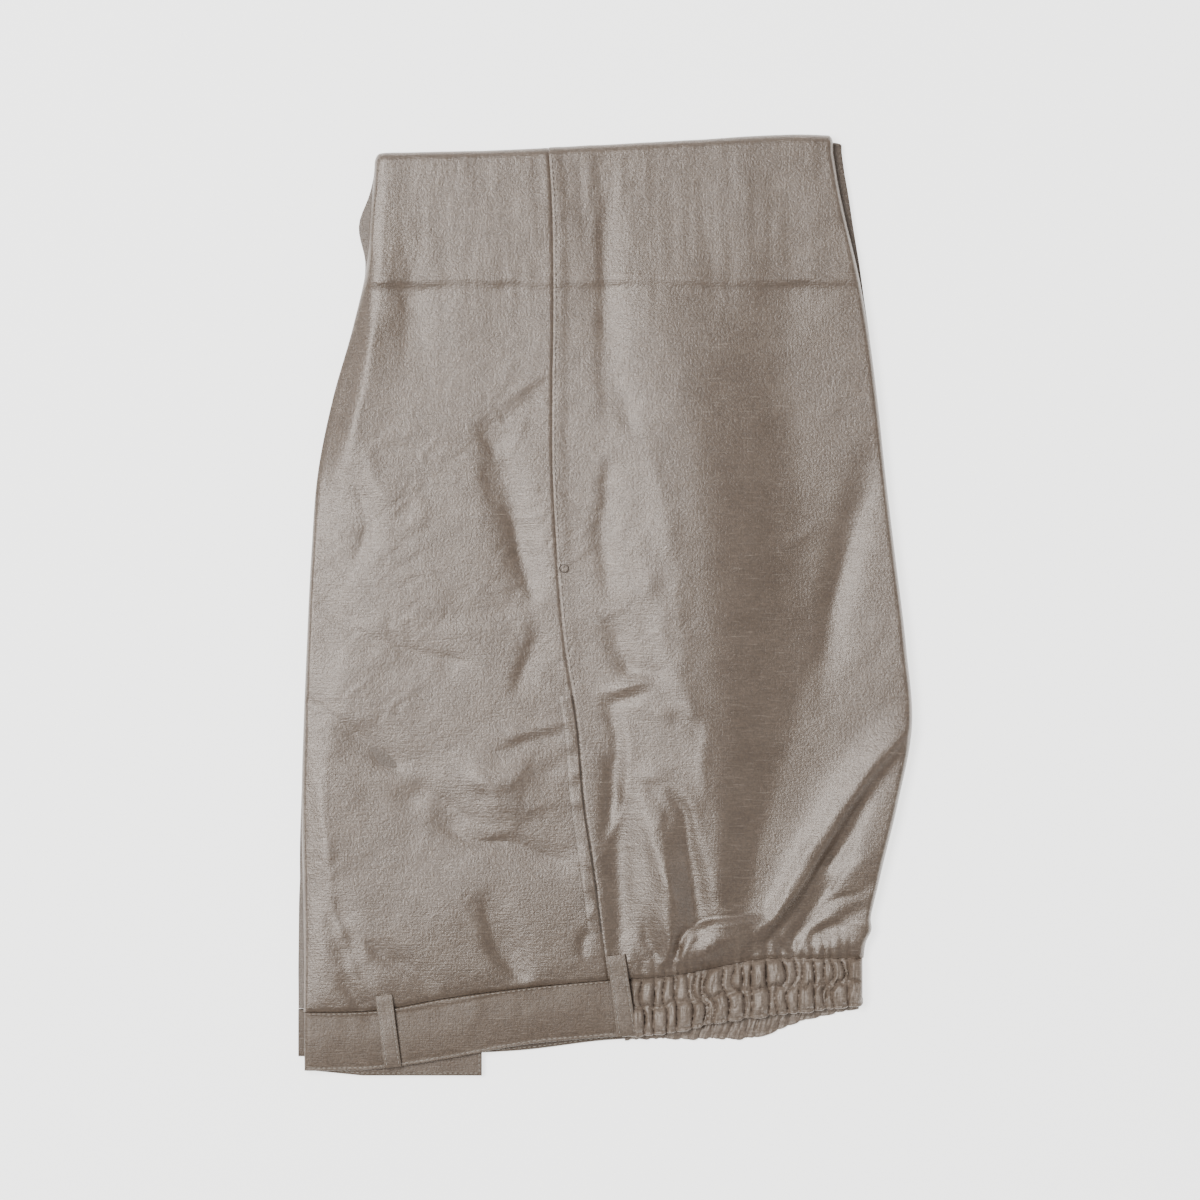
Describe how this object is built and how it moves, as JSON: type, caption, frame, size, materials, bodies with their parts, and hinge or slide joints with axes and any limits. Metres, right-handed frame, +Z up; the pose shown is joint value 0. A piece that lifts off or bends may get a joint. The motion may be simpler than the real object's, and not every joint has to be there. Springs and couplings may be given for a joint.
{
  "type": "folded trousers",
  "caption": "Silk trousers with a half-elastic waist, folded lengthways and under at the knee, lying flat to rest on a surface.",
  "frame": {"origin": "on the surface that the trousers lie on, under the middle of their outline", "axes": "+Y from the waist towards the knee fold, +X from the front edge towards the back edge, +Z up from the surface"},
  "size_m": [0.3682, 0.5635, 0.0198],
  "materials": {
    "silk": "slub silk with a soft sheen",
    "silk_inner_layers": "slub silk, folded layers",
    "waistband_silk": "slub silk over interlining",
    "gathered_silk": "slub silk gathered on elastic"
  },
  "bodies": {
    "root": {"front_panel": "silk", "back_panel": "silk", "pocket_edge": "silk", "other_leg": "silk_inner_layers", "waistband_front": "waistband_silk", "waistband_front_under": "waistband_silk", "waistband_tab": "waistband_silk", "belt_loop_front": "waistband_silk", "belt_loop_side": "waistband_silk", "waistband_back": "gathered_silk", "waistband_back_under": "gathered_silk"}
  },
  "joints": []
}
